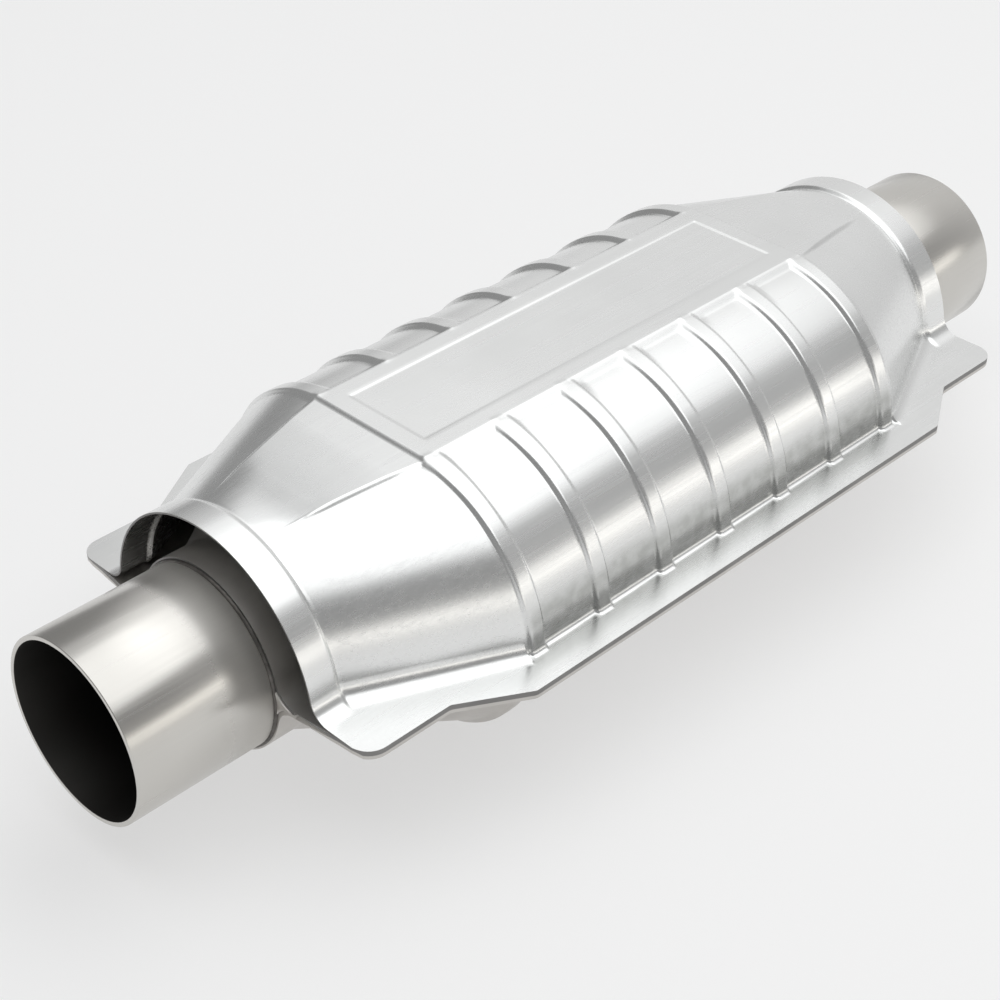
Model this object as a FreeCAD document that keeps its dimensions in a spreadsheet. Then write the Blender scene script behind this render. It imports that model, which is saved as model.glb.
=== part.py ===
# Universal catalytic converter: a stamped clamshell body round two honeycomb bricks,
# with slip-in neck tubes and a ribbed heat shield over the upper half.
# +X runs along the neck axis from inlet to outlet, +Z is up, and the lower panel stands on Z = 0.
import FreeCAD, Part
import math
import os
import Sketcher
from FreeCAD import Placement, Rotation, Vector

# How closely two lengths agree when they are taken as one
TOLERANCE = 1e-6

doc = FreeCAD.newDocument("catalytic_converter")

# Driving dimensions in millimetres
DIMENSIONS = {
    # Neck tubes, which take a 57.2 mm exhaust pipe
    "neck_bore": 57.5,
    "neck_wall": 1.6,
    "neck_overlap": 14.0,
    "neck_fit": 0.1,
    "overall_length": 402.0,
    # Honeycomb bricks of racetrack section
    "brick_radius": 40.0,
    "arc_centre": 19.2,
    "brick_length": 80.0,
    "brick_gap": 12.0,
    # Mats round the bricks, with a wire-mesh seal at each end
    "mat_space": 4.0,
    "mat_fit": 0.15,
    "seal_length": 6.0,
    # Stamped body shells, which reach past the bricks by the end space before they taper
    "shell_sheet": 1.2,
    "end_space": 2.8,
    "shell_rib_height": 2.1,
    "shell_panel_edge": 4.8,
    "cone_crown": 10.0,
    "taper_length": 51.2,
    "collar_length": 12.5,
    "collar_root": 8.0,
    # Weld beads at the collars' mouths
    "weld_leg": 2.6,
    "weld_depth": 5.0,
    # Ribs that the stampings share
    "rib_count": 7,
    "rib_crest": 5.6,
    "rib_wall": 1.4,
    # Stamped heat shield
    "shield_sheet": 0.6,
    "air_gap": 2.8,
    "shield_rib_height": 1.4,
    "shield_panel_edge": 5.8,
    "facet_half": 12.8,
    "waist_space": 11.95,
    "mouth_step_length": 2.5,
    "mouth_step_height": 1.1,
    "mouth_setback": 1.3,
    # Sunk field in the shield's top panel
    "field_end_margin": 5.1,
    "field_side_margin": 8.2,
    "field_depth": 0.8,
    # Flange outline that the stampings share
    "flange_width": 13.9,
    "tab_width": 22.6,
    "tab_length": 31.7,
    "tab_slope_length": 22.0,
    "tab_corner": 7.0,
    "waist_corner": 4.0,
}

# Sizes that follow from the driving ones
DERIVED = {
    "taper_start": "Dimensions.brick_gap / 2 + Dimensions.brick_length + Dimensions.end_space",
    "collar_start": "taper_start + Dimensions.taper_length",
    "collar_end": "collar_start + Dimensions.collar_length",
    "neck_radius": "Dimensions.neck_bore / 2 + Dimensions.neck_wall",
    "neck_inner_end": "collar_end - Dimensions.neck_overlap",
    "neck_length": "Dimensions.overall_length / 2 - neck_inner_end",
    "inlet_neck_end": "-Dimensions.overall_length / 2",
    "collar_inside": "neck_radius + Dimensions.neck_fit",
    "collar_outside": "collar_inside + Dimensions.shell_sheet",
    "shell_inside": "Dimensions.brick_radius + Dimensions.mat_space",
    "shell_valley": "shell_inside + Dimensions.shell_sheet",
    "shell_crest": "shell_valley + Dimensions.shell_rib_height",
    "taper_root": "Dimensions.air_gap",
    "shield_valley": "shell_valley + Dimensions.air_gap + Dimensions.shield_sheet",
    "shield_crest": "shield_valley + Dimensions.shield_rib_height",
    "shell_panel_half": "Dimensions.arc_centre + Dimensions.shell_panel_edge",
    "shield_panel_half": "Dimensions.arc_centre + Dimensions.shield_panel_edge",
    "waist_radius": "collar_outside + Dimensions.waist_space + Dimensions.shield_sheet",
    "waist_end": "collar_start + Dimensions.mouth_step_length",
    "mouth_radius": "waist_radius + Dimensions.mouth_step_height",
    "last_rib": "taper_start - Dimensions.rib_crest / 2 - Dimensions.rib_wall",
    "rib_pitch": "2 * last_rib / (Dimensions.rib_count - 1)",
    "field_half_length": "last_rib - Dimensions.field_end_margin",
    "field_half_width": "shield_panel_half - Dimensions.field_side_margin",
    "flange_end": "collar_end - Dimensions.mouth_setback",
    "tab_start": "flange_end - Dimensions.tab_length",
    "wide_end": "tab_start - Dimensions.tab_slope_length",
    "tab_half": "mouth_radius + Dimensions.tab_width",
    "flange_half": "Dimensions.arc_centre + shield_valley + Dimensions.flange_width",
    "mat_outside": "shell_inside - Dimensions.mat_fit",
    "mat_inside": "Dimensions.brick_radius + Dimensions.mat_fit",
    "mat_length": "Dimensions.brick_length - 2 * Dimensions.seal_length",
    "front_brick_start": "-Dimensions.brick_gap / 2 - Dimensions.brick_length",
    "rear_brick_start": "Dimensions.brick_gap / 2",
    "axis_height": "shell_crest",
}

sheet = doc.addObject("Spreadsheet::Sheet", "Dimensions")
for row, (alias, number) in enumerate(DIMENSIONS.items(), start=1):
    sheet.set("A%d" % row, alias.replace("_", " "))
    sheet.set("B%d" % row, str(number))
    sheet.setAlias("B%d" % row, alias)
doc.recompute()

derived = doc.addObject("App::FeaturePython", "Derived")
for name, rule in DERIVED.items():
    derived.addProperty("App::PropertyFloat", name, "Sizes", name.replace("_", " "))
    derived.setExpression(name, rule)
doc.recompute()


def cell(name):
    """How an expression refers to a size."""
    owner = "Derived." if name in DERIVED else "Dimensions."
    return owner + name


def size(name):
    """The number that a size has now."""
    if name in DERIVED:
        return float(getattr(derived, name))
    return float(sheet.get(name))


# Bricks, mats, seals and necks, as padded sketches


def new_body(name):
    """An empty body on the neck axis."""
    body = doc.addObject("PartDesign::Body", name)
    body.Label = name
    body.setExpression("Placement.Base.z", cell("axis_height"))
    return body


def cross_sketch(body, station):
    """A sketch across the axis: its own x is the part's Y, its y is the part's Z."""
    sketch = body.newObject("Sketcher::SketchObject", body.Name + "_section")
    plane = [item for item in body.Origin.OriginFeatures if item.Role == "YZ_Plane"][0]
    sketch.AttachmentSupport = (plane, [""])
    sketch.MapMode = "FlatFace"
    sketch.setExpression("AttachmentOffset.Base.z", station)
    return sketch


def bind(sketch, constraint, name, expression):
    """Adds a named constraint whose value follows an expression."""
    index = sketch.addConstraint(constraint)
    sketch.renameConstraint(index, name)
    sketch.setExpression("Constraints." + name, expression)


def add_circle(sketch, name, radius):
    """A circle about the axis."""
    circle = Part.Circle(Vector(0, 0, 0), Vector(0, 0, 1), size(radius))
    index = sketch.addGeometry(circle)
    sketch.addConstraint(Sketcher.Constraint("Coincident", index, 3, -1, 1))
    bind(sketch, Sketcher.Constraint("Radius", index, size(radius)), name, cell(radius))


def add_racetrack(sketch, name, radius):
    """Two half rounds about the arc centres, joined by tangent lines."""
    centre = size("arc_centre")
    reach = size(radius)
    normal = Vector(0, 0, 1)
    right_circle = Part.Circle(Vector(centre, 0, 0), normal, reach)
    left_circle = Part.Circle(Vector(-centre, 0, 0), normal, reach)
    right = sketch.addGeometry(Part.ArcOfCircle(right_circle, -math.pi / 2, math.pi / 2))
    left = sketch.addGeometry(Part.ArcOfCircle(left_circle, math.pi / 2, 3 * math.pi / 2))
    top = sketch.addGeometry(Part.LineSegment(Vector(centre, reach, 0), Vector(-centre, reach, 0)))
    bottom = sketch.addGeometry(Part.LineSegment(Vector(-centre, -reach, 0), Vector(centre, -reach, 0)))
    sketch.addConstraint(Sketcher.Constraint("Tangent", right, 2, top, 1))
    sketch.addConstraint(Sketcher.Constraint("Tangent", top, 2, left, 1))
    sketch.addConstraint(Sketcher.Constraint("Tangent", left, 2, bottom, 1))
    sketch.addConstraint(Sketcher.Constraint("Tangent", bottom, 2, right, 1))
    sketch.addConstraint(Sketcher.Constraint("Symmetric", left, 3, right, 3, -1, 1))
    sketch.addConstraint(Sketcher.Constraint("PointOnObject", right, 3, -1))
    sketch.addConstraint(Sketcher.Constraint("Equal", left, right))
    bind(sketch, Sketcher.Constraint("Radius", right, reach), name + "_radius", cell(radius))
    spread = Sketcher.Constraint("DistanceX", -1, 1, right, 3, centre)
    bind(sketch, spread, name + "_centre", cell("arc_centre"))


def pad(body, sketch, length):
    """Pads a sketch towards +X."""
    feature = body.newObject("PartDesign::Pad", body.Name + "_pad")
    feature.Profile = sketch
    feature.setExpression("Length", length)


def brick(name, start):
    """A honeycomb brick, as one solid of its outer shape."""
    body = new_body(name)
    section = cross_sketch(body, start)
    add_racetrack(section, "outside", "brick_radius")
    pad(body, section, cell("brick_length"))
    return body


def wrap(name, start, length):
    """A sleeve that fills the space between a brick and the shells."""
    body = new_body(name)
    section = cross_sketch(body, start)
    add_racetrack(section, "outside", "mat_outside")
    add_racetrack(section, "inside", "mat_inside")
    pad(body, section, length)
    return body


def neck(name, start):
    """A neck tube."""
    body = new_body(name)
    section = cross_sketch(body, start)
    add_circle(section, "outside", "neck_radius")
    bore = Part.Circle(Vector(0, 0, 0), Vector(0, 0, 1), size("neck_bore") / 2)
    index = section.addGeometry(bore)
    section.addConstraint(Sketcher.Constraint("Coincident", index, 3, -1, 1))
    bore_size = Sketcher.Constraint("Diameter", index, size("neck_bore"))
    bind(section, bore_size, "bore", cell("neck_bore"))
    pad(body, section, cell("neck_length"))
    return body


# Sheet stampings: the space inside the outer skin, less the space inside the inner skin.
# Each skin is lofted through arched sections, which both skins share.


class Station:
    """One section along a stamping. Its root is the radius of the bend into the flange."""

    def __init__(self, x, centre, radius, flat, root=0.0, crowned=False, shift=0.0):
        self.x = x
        self.centre = centre
        self.radius = radius
        self.flat = flat
        self.root = root
        self.crowned = crowned
        # How far the inner skin's section lies from the outer one's, along the axis
        self.shift = shift


class Stamping:
    """A sheet, its seat above the parting plane, its ribbed middle and its outlet end."""

    def __init__(self, thickness, seat, middle, end):
        self.thickness = thickness
        self.seat = seat
        self.middle = middle
        self.end = end


def arch(stamping, station, inner, base):
    """A closed arch: upright walls, the bends into the flange, round flanks and a top."""
    inset = stamping.thickness if inner else 0.0
    x = station.x + (station.shift if inner else 0.0)
    centre = station.centre
    flank = station.radius - inset
    lean = 0.0
    wall_y = centre + flank
    wall_top = 0.0
    if station.root > 0:
        bend = station.root + inset
        bend_height = stamping.seat + stamping.thickness + station.root
        wall_y = centre + math.sqrt((station.radius + station.root) ** 2 - bend_height ** 2)
        wall_top = bend_height - bend
        lean = math.atan2(bend_height, wall_y - centre)
    if station.crowned:
        top_y = station.flat * flank / station.radius
        top_z = math.sqrt(flank ** 2 - top_y ** 2)
    else:
        top_z = math.sqrt(station.radius ** 2 - (station.flat - centre) ** 2) - inset
        top_y = centre + math.sqrt(max(flank ** 2 - top_z ** 2, 0.0))
    flank_lean = (lean + math.atan2(top_z, top_y - centre)) / 2

    def at(y, z):
        return Vector(x, y, z)

    def on_flank(sign, angle):
        return at(sign * (centre + flank * math.cos(angle)), flank * math.sin(angle))

    def side(sign):
        """The edges of one side, from the base up."""
        wall_end = at(sign * wall_y, wall_top)
        edges = []
        if wall_top - base > TOLERANCE:
            edges.append(Part.LineSegment(at(sign * wall_y, base), wall_end))
        if station.root > 0:
            bend_lean = (math.pi / 2 + lean) / 2
            middle_y = wall_y - bend * math.cos(bend_lean)
            bend_middle = at(sign * middle_y, bend_height - bend * math.sin(bend_lean))
            edges.append(Part.Arc(wall_end, bend_middle, on_flank(sign, lean)))
        flank_end = at(sign * top_y, top_z)
        edges.append(Part.Arc(on_flank(sign, lean), on_flank(sign, flank_lean), flank_end))
        return [edge.toShape() for edge in edges]

    if station.crowned:
        top = Part.Arc(at(top_y, top_z), at(0, flank), at(-top_y, top_z))
    else:
        top = Part.LineSegment(at(top_y, top_z), at(-top_y, top_z))
    floor = Part.LineSegment(at(-wall_y, base), at(wall_y, base))
    return Part.Wire(side(1) + [top.toShape()] + side(-1)[::-1] + [floor.toShape()])


def lofted(stamping, stations, inner, base):
    """A solid ruled through the sections."""
    wires = [arch(stamping, station, inner, base) for station in stations]
    return Part.makeLoft(wires, True, True)


def skin(stamping, inner):
    """The space inside one skin, as a closed solid: the middle and two like ends."""
    base = -stamping.thickness if inner else 0.0
    middle = lofted(stamping, stamping.middle, inner, base)
    outlet_end = lofted(stamping, stamping.end, inner, base)
    inlet_end = outlet_end.mirror(Vector(0, 0, 0), Vector(1, 0, 0))
    return middle.multiFuse([outlet_end, inlet_end])


def wall_shift(rise, thickness):
    """How far a rib's inner skin stands inside its outer skin, along the sheet."""
    wall_angle = math.atan2(rise, size("rib_wall"))
    return thickness * math.tan(wall_angle / 2)


def rib_stations(valley, crest, thickness):
    """Four sections for each rib: foot, crest, crest and foot."""
    centre = size("arc_centre")
    crest_half = size("rib_crest") / 2
    foot_half = crest_half + size("rib_wall")
    shift = wall_shift(crest - valley, thickness)
    stations = []
    for number in range(int(size("rib_count"))):
        middle = number * size("rib_pitch") - size("last_rib")
        stations.append(Station(middle - foot_half, centre, valley, centre, shift=shift))
        stations.append(Station(middle - crest_half, centre, crest, centre, shift=shift))
        stations.append(Station(middle + crest_half, centre, crest, centre, shift=-shift))
        stations.append(Station(middle + foot_half, centre, valley, centre, shift=-shift))
    return stations


def rectangle(half_length, half_width, z):
    """A closed rectangle round the vertical axis."""
    corners = [Vector(half_length, half_width, z), Vector(-half_length, half_width, z)]
    corners += [Vector(-half_length, -half_width, z), Vector(half_length, -half_width, z)]
    return Part.makePolygon(corners + corners[:1])


def tapered_slab(half_length, half_width, top, depth, spread):
    """A slab whose four walls lean outwards by the spread from its top to its foot."""
    upper = rectangle(half_length, half_width, top)
    lower = rectangle(half_length + spread, half_width + spread, top - depth)
    return Part.makeLoft([lower, upper], True, True)


def panel(half_width, valley, crest, thickness, inner):
    """The flat panel between the end ribs, flush with their crests and sunk into the form."""
    rise = crest - valley
    depth = 2 * rise
    spread = size("rib_wall") * depth / rise
    inset = thickness if inner else 0.0
    width = half_width - (wall_shift(rise, thickness) if inner else 0.0)
    return tapered_slab(size("last_rib"), width, crest - inset, depth, spread)


def round_upright_edges(plate, reach, radius):
    """Rounds the plate's upright edges that stand this far from the middle, along X."""
    edges = []
    for edge in plate.Edges:
        upright = edge.BoundBox.ZLength > edge.BoundBox.XLength + edge.BoundBox.YLength
        if upright and abs(abs(edge.BoundBox.Center.x) - reach) < TOLERANCE:
            edges.append(edge)
    return plate.makeFillet(radius, edges)


def flange_plate(bottom, thickness):
    """The flange outline as a plate: narrow tabs at the ends and a wide middle."""
    end_corner = (size("flange_end"), size("tab_half"))
    waist_corner = (size("tab_start"), size("tab_half"))
    wide_corner = (size("wide_end"), size("flange_half"))
    quarter = [end_corner, waist_corner, wide_corner]
    corners = [Vector(x, y, bottom) for x, y in quarter]
    corners += [Vector(-x, y, bottom) for x, y in reversed(quarter)]
    corners += [Vector(-x, -y, bottom) for x, y in quarter]
    corners += [Vector(x, -y, bottom) for x, y in reversed(quarter)]
    outline = Part.makePolygon(corners + corners[:1])
    plate = Part.Face(outline).extrude(Vector(0, 0, thickness))
    plate = round_upright_edges(plate, size("flange_end"), size("tab_corner"))
    plate = round_upright_edges(plate, size("tab_start"), size("waist_corner"))
    return round_upright_edges(plate, size("wide_end"), size("waist_corner"))


def pressed_sheet(stamping, outer, inner):
    """The outer form with its flange, less the inner form and all that lies below the seat."""
    flange = flange_plate(stamping.seat, stamping.thickness)
    reach = size("overall_length")
    lowest = -2 * stamping.thickness
    below = Part.makeBox(2 * reach, 2 * reach, stamping.seat - lowest, Vector(-reach, -reach, lowest))
    return outer.fuse(flange).cut(inner).cut(below).removeSplitter()


def shell_stamping(overcut):
    """One half of the clamshell body, whose collars are cut through by the overcut."""
    thickness = size("shell_sheet")
    collar = size("collar_outside")
    crown = size("cone_crown")
    root = size("collar_root")
    shift = wall_shift(size("shell_rib_height"), thickness)
    ribs = rib_stations(size("shell_valley"), size("shell_crest"), thickness)
    last = ribs[-1]
    end = [
        Station(last.x, last.centre, last.radius, last.flat, size("taper_root"), shift=-shift),
        Station(size("collar_start"), 0.0, collar, crown, root, crowned=True),
        Station(size("collar_end") + overcut, 0.0, collar, crown, root, crowned=True),
    ]
    return Stamping(thickness, 0.0, ribs, end)


def body_shell():
    """A body half with its ribs and its flat panel, opening downwards."""
    thickness = size("shell_sheet")
    half = size("shell_panel_half")
    levels = (size("shell_valley"), size("shell_crest"), thickness)
    outer = skin(shell_stamping(0.0), False).fuse(panel(half, *levels, False))
    inner = skin(shell_stamping(thickness), True).fuse(panel(half, *levels, True))
    return pressed_sheet(shell_stamping(0.0), outer, inner)


def shield_stamping(overcut):
    """The heat shield, whose mouths are cut through by the overcut."""
    thickness = size("shield_sheet")
    facet = size("facet_half")
    mouth_radius = size("mouth_radius")
    shift = wall_shift(size("shield_rib_height"), thickness)
    ribs = rib_stations(size("shield_valley"), size("shield_crest"), thickness)
    # The tapers' facets are as wide as the panel where they leave it
    end = [
        Station(ribs[-1].x, ribs[-1].centre, ribs[-1].radius, size("shield_panel_half"), shift=-shift),
        Station(size("collar_start"), 0.0, size("waist_radius"), facet),
        Station(size("waist_end"), 0.0, mouth_radius, facet, crowned=True),
        Station(size("flange_end") + overcut, 0.0, mouth_radius, facet, crowned=True),
    ]
    return Stamping(thickness, size("shell_sheet"), ribs, end)


def sunk_field(level, margin):
    """The space that the sunk field takes out of the panel, from its floor up."""
    depth = size("field_depth")
    height = 2 * depth
    half_length = size("field_half_length") + margin
    half_width = size("field_half_width") + margin
    return tapered_slab(half_length, half_width, level + depth, height, -height)


def heat_shield():
    """The shield: ribs, panel with its sunk field, faceted tapers, collars and flange."""
    thickness = size("shield_sheet")
    half = size("shield_panel_half")
    crest = size("shield_crest")
    levels = (size("shield_valley"), crest, thickness)
    outer = skin(shield_stamping(0.0), False).fuse(panel(half, *levels, False))
    outer = outer.cut(sunk_field(crest, 0.0))
    inner = skin(shield_stamping(thickness), True).fuse(panel(half, *levels, True))
    inner = inner.cut(sunk_field(crest - thickness, thickness))
    return pressed_sheet(shield_stamping(0.0), outer, inner)


def weld_bead():
    """A fillet bead round the outlet neck at the collar's mouth, with the two roots filled."""
    neck_radius = size("neck_radius")
    mouth = size("collar_end")
    toe = mouth + size("weld_leg")
    corners = [
        Vector(mouth, 0, neck_radius),
        Vector(toe, 0, neck_radius),
        Vector(mouth, 0, size("collar_outside")),
    ]
    profile = Part.Face(Part.makePolygon(corners + corners[:1]))
    bead = profile.revolve(Vector(0, 0, 0), Vector(1, 0, 0), 360)
    stamping = shell_stamping(0.0)
    last = stamping.end[-1]
    depth = size("weld_depth")
    back = Station(mouth - depth, last.centre, last.radius, last.flat, last.root, crowned=True)
    space = lofted(stamping, [back, last], True, 0.0)
    other = space.copy()
    other.rotate(Vector(0, 0, 0), Vector(1, 0, 0), 180)
    filled = Part.makeCylinder(size("collar_inside"), depth, Vector(mouth - depth, 0, 0), Vector(1, 0, 0))
    roots = space.fuse(other).cut(filled)
    return bead.fuse(roots).removeSplitter()


def add_shape(name, shape, turn_axis=Vector(0, 0, 1), turn=0.0):
    """A shape set on the neck axis, turned about a line through the middle of the object."""
    feature = doc.addObject("Part::Feature", name)
    feature.Label = name
    feature.Shape = shape
    feature.Placement = Placement(Vector(0, 0, size("axis_height")), Rotation(turn_axis, turn))
    return feature


# The assembly

shell = body_shell()
weld = weld_bead()
nodes = [
    add_shape("heat_shield", heat_shield()),
    add_shape("upper_shell", shell),
    add_shape("lower_shell", shell, Vector(1, 0, 0), 180.0),
    add_shape("inlet_neck_weld", weld, Vector(0, 0, 1), 180.0),
    add_shape("outlet_neck_weld", weld),
    neck("inlet_neck", cell("inlet_neck_end")),
    neck("outlet_neck", cell("neck_inner_end")),
]
for place in ("front", "rear"):
    start = cell(place + "_brick_start")
    seal_length = cell("seal_length")
    nodes.append(brick(place + "_brick", start))
    nodes.append(wrap(place + "_brick_mat", start + " + " + seal_length, cell("mat_length")))
    nodes.append(wrap(place + "_brick_inlet_seal", start, seal_length))
    outlet_side = start + " + " + cell("brick_length") + " - " + seal_length
    nodes.append(wrap(place + "_brick_outlet_seal", outlet_side, seal_length))
doc.recompute()

for item in doc.Objects:
    for state in ("Invalid", "Error"):
        if state in item.State:
            raise RuntimeError(item.Name + " is " + state)
for node in nodes:
    if node.Shape.isNull() or not node.Shape.isValid():
        raise RuntimeError(node.Label + " has no valid shape")

os.makedirs("parts", exist_ok=True)
for node in nodes:
    node.Shape.exportStep("parts/" + node.Label + ".step")
    print(node.Label, len(node.Shape.Solids), round(node.Shape.Volume))
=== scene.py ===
"""Looks of a universal catalytic converter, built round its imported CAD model.

The gas goes along +X, from the inlet neck to the outlet neck. Sizes are in millimetres, and each
mesh is brought to metres as it is made.
"""

import math
from types import SimpleNamespace

import bmesh
import bpy
import numpy as np
from mathutils import Matrix, Vector


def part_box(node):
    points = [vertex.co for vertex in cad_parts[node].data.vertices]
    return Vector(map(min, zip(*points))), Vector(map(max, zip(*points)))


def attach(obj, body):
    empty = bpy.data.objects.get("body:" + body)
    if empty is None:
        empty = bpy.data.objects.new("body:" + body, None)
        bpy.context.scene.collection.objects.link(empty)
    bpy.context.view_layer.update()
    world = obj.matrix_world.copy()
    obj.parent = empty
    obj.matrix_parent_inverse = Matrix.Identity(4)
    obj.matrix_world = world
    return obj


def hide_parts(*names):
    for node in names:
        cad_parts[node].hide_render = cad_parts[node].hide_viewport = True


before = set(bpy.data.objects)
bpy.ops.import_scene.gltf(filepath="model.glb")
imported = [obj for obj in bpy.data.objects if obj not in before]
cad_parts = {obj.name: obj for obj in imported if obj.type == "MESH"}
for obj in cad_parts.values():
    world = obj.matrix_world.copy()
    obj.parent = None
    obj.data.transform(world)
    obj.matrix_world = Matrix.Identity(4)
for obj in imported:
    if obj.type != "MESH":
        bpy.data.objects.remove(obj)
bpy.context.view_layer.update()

# Catalyst bricks
# Each is a racetrack-shaped block of extruded ceramic with thin-walled square cells from end to
# end, dipped in a tan washcoat. It's pushed into the shells in its mat.
BRICK_NODES = ("front_brick", "rear_brick")
BRICK_RADIUS = 40.0
ARC_CENTRE = 19.2
AXIS_HEIGHT = 47.3
CELL_PITCH = 1.27
CELL_OPEN = 0.84
CELL_DEPTH = 4.0
BRICK_EDGE = 0.4
ARC_STEPS = 40
# A millimetre in metres
MM = 0.001


def metres(points):
    """Points in millimetres about the neck axis, as the frame's metres."""
    moved = np.asarray(points, dtype=float) + np.array([0.0, 0.0, AXIS_HEIGHT])
    return moved * MM


def new_mesh(name, points, faces):
    """An object at the origin whose mesh holds the points, in millimetres about the neck axis."""
    mesh = bpy.data.meshes.new(name)
    mesh.from_pydata(metres(points).tolist(), [], [list(face) for face in faces])
    mesh.validate()
    thing = bpy.data.objects.new(name, mesh)
    bpy.context.collection.objects.link(thing)
    return thing


def smooth(thing, angle):
    """Smooth shading, with edges sharper than the angle kept as edges."""
    mesh = thing.data
    mesh.shade_smooth()
    mesh.set_sharp_from_angle(angle=math.radians(angle))
    return thing


def merge_doubles(thing, distance):
    """Merges points closer than the distance, in millimetres."""
    work = bmesh.new()
    work.from_mesh(thing.data)
    bmesh.ops.remove_doubles(work, verts=work.verts, dist=distance * MM)
    bmesh.ops.dissolve_degenerate(work, edges=work.edges, dist=distance * MM / 2)
    bmesh.ops.recalc_face_normals(work, faces=work.faces)
    work.to_mesh(thing.data)
    work.free()


def racetrack(radius, steps):
    """Points of a racetrack outline across the axis, anticlockwise from +Y."""
    points = []
    for index in range(steps + 1):
        angle = -math.pi / 2 + math.pi * index / steps
        points.append((ARC_CENTRE + radius * math.cos(angle), radius * math.sin(angle)))
    for index in range(steps + 1):
        angle = math.pi / 2 + math.pi * index / steps
        points.append((-ARC_CENTRE + radius * math.cos(angle), radius * math.sin(angle)))
    return points


def band_faces(rows, size, start=0, joined=False):
    """Quads between rows of points, where each row is a ring. Joined rows close up as well."""
    faces = []
    for row in range(rows if joined else rows - 1):
        first = start + row * size
        second = start + (row + 1) % rows * size
        for index in range(size):
            after = (index + 1) % size
            faces.append((first + index, first + after, second + after, second + index))
    return faces


def dress(thing, *materials):
    """Gives a mesh its materials, in place of any that it has."""
    thing.data.materials.clear()
    for material in materials:
        thing.data.materials.append(material)


def new_material(name):
    """A node material, its node tree and its shader."""
    material = bpy.data.materials.new(name)
    material.use_nodes = True
    return material, material.node_tree, material.node_tree.nodes["Principled BSDF"]


def texture(tree, kind, **inputs):
    """A texture node over Object coordinates, with its inputs by name."""
    coordinate = tree.nodes.new("ShaderNodeTexCoord")
    pattern = tree.nodes.new(kind)
    for label, value in inputs.items():
        pattern.inputs[label.replace("_", " ")].default_value = value
    tree.links.new(coordinate.outputs["Object"], pattern.inputs["Vector"])
    return pattern


def tint(tree, shader, amount, dark, light, start=0.0, end=1.0):
    """Colours a shader by an amount, from dark to light."""
    ramp = tree.nodes.new("ShaderNodeValToRGB")
    for stop, place, colour in zip(ramp.color_ramp.elements, (start, end), (dark, light)):
        stop.position = place
        stop.color = (*colour, 1.0)
    tree.links.new(amount, ramp.inputs["Fac"])
    tree.links.new(ramp.outputs["Color"], shader.inputs["Base Color"])


def roughen(tree, shader, height, strength, distance):
    """Gives a shader the fine relief of a height, whose distance is in millimetres."""
    relief = tree.nodes.new("ShaderNodeBump")
    relief.inputs["Strength"].default_value = strength
    relief.inputs["Distance"].default_value = distance * MM
    tree.links.new(height, relief.inputs["Height"])
    tree.links.new(relief.outputs["Normal"], shader.inputs["Normal"])


washcoat, tree, shader = new_material("washcoated_ceramic")
mottle = texture(tree, "ShaderNodeTexNoise", Scale=90.0, Detail=6.0).outputs["Fac"]
tint(tree, shader, mottle, (0.42, 0.34, 0.25), (0.68, 0.59, 0.46), 0.3, 0.7)
roughen(tree, shader, mottle, 0.3, 0.2)
shader.inputs["Roughness"].default_value = 0.9


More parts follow.
